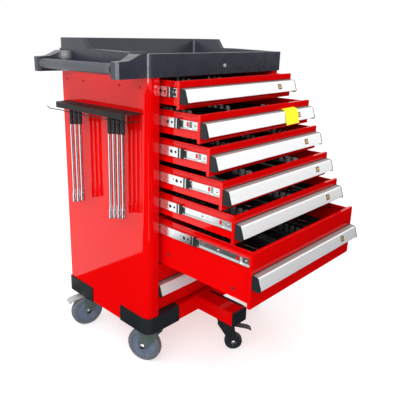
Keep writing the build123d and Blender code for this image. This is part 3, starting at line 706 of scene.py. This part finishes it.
def wheel_piece(node, roll, half, tyre, hub, bolt_radius):
    """A tyre with ribbed side walls on a dished hub. half is half the wheel's width. The profiles are
    written for a wheel of 62.5 mm radius, as (radius, depth below the side face)."""
    low, high = spot(node)
    radius = (high.z - low.z) / 2
    scale = radius / 62.5
    wheel = Shape(caster_frame(roll["pos_m"], roll["axis"]))
    wall = [(46, 0.9), (48.5, 0.9), (49.2, 0.2), (50.2, 0.2), (50.9, 0.9), (52.6, 0.9), (53.3, 0.2)]
    wall += [(54.3, 0.2), (55.0, 0.9), (56.0, 0.5), (57.5, 1.2), (60.0, 3.2), (61.6, 5.6), (62.5, 9.0)]
    profile = [(half - inset * scale, reach * scale) for reach, inset in wall]
    profile += [(-along, reach) for along, reach in reversed(profile)]
    wheel.lathe(profile, (0, 0, radius), (1, 0, 0), tyre, 72)
    dish = [(46.4, 3.0), (43.0, 3.4), (41.5, 5.0), (28.0, 5.0), (26.0, 3.6), (24.0, 3.4), (21.0, 5.0)]
    dish += [(17.0, 4.6)]
    hub_profile = [(half - inset * scale, reach * scale) for reach, inset in dish]
    hub_profile += [(half + 1.4, 12 * scale + 1), (half + 1.4, bolt_radius)]
    hub_profile += [(-along, reach) for along, reach in reversed(hub_profile)]
    wheel.lathe(hub_profile, (0, 0, radius), (1, 0, 0), hub, 56)
    wheel.finish(f"{node}_tyred", body_of(node), slots[node], 0.0, 2, [node])


for corner in ("front_left", "rear_left", "front_right", "rear_right"):
    wheel_piece(f"wheel_{corner}", joints[f"{corner}_roll"], 16.0, "grey_tyre", "hub_plastic", 6.1)
wheel_piece("leg_wheel", joints["leg_roll"], 11.0, "black_tyre", "black_plastic", 5.1)


def axle_ends(name, body, reach, axle):
    """A washer, a hex head and the axle's own end on each side. reach is how far out the fork's cheek is;
    axle is the axle's radius."""
    roll = joints[f"{name}_roll"]
    height = roll["pos_m"][2] * 1000
    washer = [(0, 0), (0, axle + 4.6), (1.4, axle + 4.4), (1.4, 0)]
    tip = [(0, 0), (0, axle * 0.62), (1.2, axle * 0.5), (1.2, 0)]
    trim = Shape(caster_frame(roll["pos_m"], roll["axis"]))
    for side in (-1, 1):
        out = (side, 0, 0)
        trim.lathe(washer, (side * reach, 0, height), out, "zinc", 28)
        trim.hexagon((side * (reach + 1.2), 0, height), out, axle * 2.3, 4.0, "chrome")
        trim.lathe(tip, (side * (reach + 5), 0, height), out, "chrome", 20)
    trim.finish(f"{name}_axle", body, "chrome", 0.3)


def raceway(name, node, radius, level, tall):
    """The rounded ring round a swivel caster's kingpin, above the fork."""
    roll, swivel = joints[f"{name}_roll"], joints[f"{name}_swivel"]
    bead = [(0, -8), (0, 0), (0.2, 2.6), (0.55, 3), (0.8, 1), (1, -3), (1, -8)]
    ring = Shape(caster_frame(swivel["pos_m"], roll["axis"]))
    ring.lathe([(up * tall, radius + out) for up, out in bead], (0, 0, level), UP, slots[node], 48)
    ring.finish(f"{name}_raceway", body_of(node), slots[node])


# a swivel caster also has a raceway: its fork, and the ring's radius, level and height
for name, body, reach, axle, ring in (
    ("front_left", "front_caster", 23, 6, ("front_swivel_fork", 31.0, 132.2, 4.3)),
    ("rear_left", "rear_caster", 23, 6, ("rear_swivel_fork", 31.0, 132.2, 4.3)),
    ("front_right", "cabinet", 23, 6, None),
    ("rear_right", "cabinet", 23, 6, None),
    ("leg", "leg_caster", 17, 5, ("leg_fork", 22.0, 128.2, 11.0)),
):
    axle_ends(name, body, reach, axle)
    if ring:
        raceway(name, *ring)


# ------------------------------------------------------------------ floor, light and camera

def stage_sheet(name, corners, material):
    """A flat sheet of the studio, in metres; it is no part of the cart."""
    mesh = bpy.data.meshes.new(name)
    mesh.from_pydata(corners, [], [list(range(len(corners)))])
    mesh.materials.append(material)
    item = bpy.data.objects.new(name, mesh)
    bpy.context.scene.collection.objects.link(item)
    return item


def reflected_only(card):
    """Leave a card to be seen by glossy rays alone."""
    card.visible_camera = False
    card.visible_diffuse = False
    card.visible_shadow = False
    card.visible_transmission = False
    card.visible_volume_scatter = False


def flat(low, high, height):
    (x0, y0), (x1, y1) = low, high
    return [(x0, y0, height), (x1, y0, height), (x1, y1, height), (x0, y1, height)]


def upright(start, end, bottom, top):
    return [(*start, bottom), (*end, bottom), (*end, top), (*start, top)]


def stage_finish(name, grey, roughness, glow=0.0):
    """A matt grey without highlights; glow is the strength of the white light it gives off."""
    finish = Finish(name, (grey, grey, grey), Roughness=roughness, Specular_IOR_Level=0.0)
    finish.set("Emission Color", (1, 1, 1, 1))
    finish.set("Emission Strength", glow)
    return finish.material


stage_sheet("studio_floor", flat((-20, -20), (20, 20), 0.0), stage_finish("studio_floor", 0.6, 0.9, 0.55))

# dark cards that only reflections see: they keep the white studio out of the lower reflections, as in
# the photo
card_material = stage_finish("dark_card", 0.01, 1.0)
split, reach, card_top, card_level = 0.10, 9.0, 1.02, 0.002
left_edge = MIDDLE.y + 0.53
front_edge = MIDDLE.y - 0.24
for name, corners in (
    ("dark_card_left", flat((-reach, -reach), (split, left_edge), card_level)),
    ("dark_card_front", flat((split, -reach), (reach, front_edge), card_level)),
    ("dark_card_far", upright((split, -reach), (reach, -reach), 0.0, card_top)),
    ("dark_card_right", upright((reach, -reach), (reach, front_edge), 0.0, card_top)),
):
    reflected_only(stage_sheet(name, corners, card_material))

# a black flag to the right of the camera, seen by diffuse rays alone: it takes some of the white
# surroundings off the fronts, which are a little darker than the left side in the photo
flag = stage_sheet("black_flag", upright((-0.15, -1.1), (3.0, -1.1), 0.0, 0.62), card_material)
reflected_only(flag)
flag.visible_glossy = False
flag.visible_diffuse = True

# two lit cards in front of the left corner, also seen by reflections alone: they draw the highlight down
# each rounded upright edge, strong on the tray and faint on the stile
lit_level = 0.004
lit_strip = [(-1.06, -0.80), (-0.84, -1.02), (-2.90, -3.10), (-3.12, -2.88)]
for name, corners, glow in (
    ("lit_card_high", upright((-3.45, -2.50), (-2.50, -3.45), 0.62, 1.6), 15.0),
    ("lit_card_low", [(x, y, lit_level) for x, y in lit_strip], 1.0),
):
    reflected_only(stage_sheet(name, corners, stage_finish(name, 0.0, 1.0, glow)))

world = bpy.data.worlds.new("studio")
world.use_nodes = True
world.node_tree.nodes["Background"].inputs["Color"].default_value = (1, 1, 1, 1)
world.node_tree.nodes["Background"].inputs["Strength"].default_value = 1.0
bpy.context.scene.world = world
bpy.context.scene.view_settings.view_transform = "Standard"


def softbox(name, place, target, width, height, watts, mirrored=True):
    light = bpy.data.lights.new(name, "AREA")
    light.shape = "RECTANGLE"
    light.size, light.size_y, light.energy = width, height, watts
    item = bpy.data.objects.new(name, light)
    item.location = place
    item.rotation_euler = (Vector(target) - Vector(place)).to_track_quat("-Z", "Y").to_euler()
    item.visible_glossy = mirrored
    bpy.context.scene.collection.objects.link(item)


softbox("key", (-2.6, -2.2, 3.4), (0, 0, 0.6), 2.4, 2.4, 60)
softbox("side_fill", (-2.6, 0.6, 2.5), (-0.3, 0.2, 1.0), 2.0, 1.2, 24, mirrored=False)

# the camera, fitted to the cabinet's edges in the photo
heading, tilt_down, roll = -45.08, 16.21, 0.86
camera = bpy.data.cameras.new("camera")
camera.sensor_width = 36
camera.lens = 44.19
camera.shift_x = 0.0586
camera.shift_y = -0.0513
camera.clip_end = 60
eye = bpy.data.objects.new("camera", camera)
eye.matrix_world = (
    Matrix.Translation(MIDDLE + Vector((-1.3055, -1.3174, 1.1175)))
    @ Matrix.Rotation(math.radians(heading), 4, "Z")
    @ Matrix.Rotation(math.radians(90 - tilt_down), 4, "X")
    @ Matrix.Rotation(math.radians(roll), 4, "Z")
)
bpy.context.scene.collection.objects.link(eye)
bpy.context.scene.camera = eye
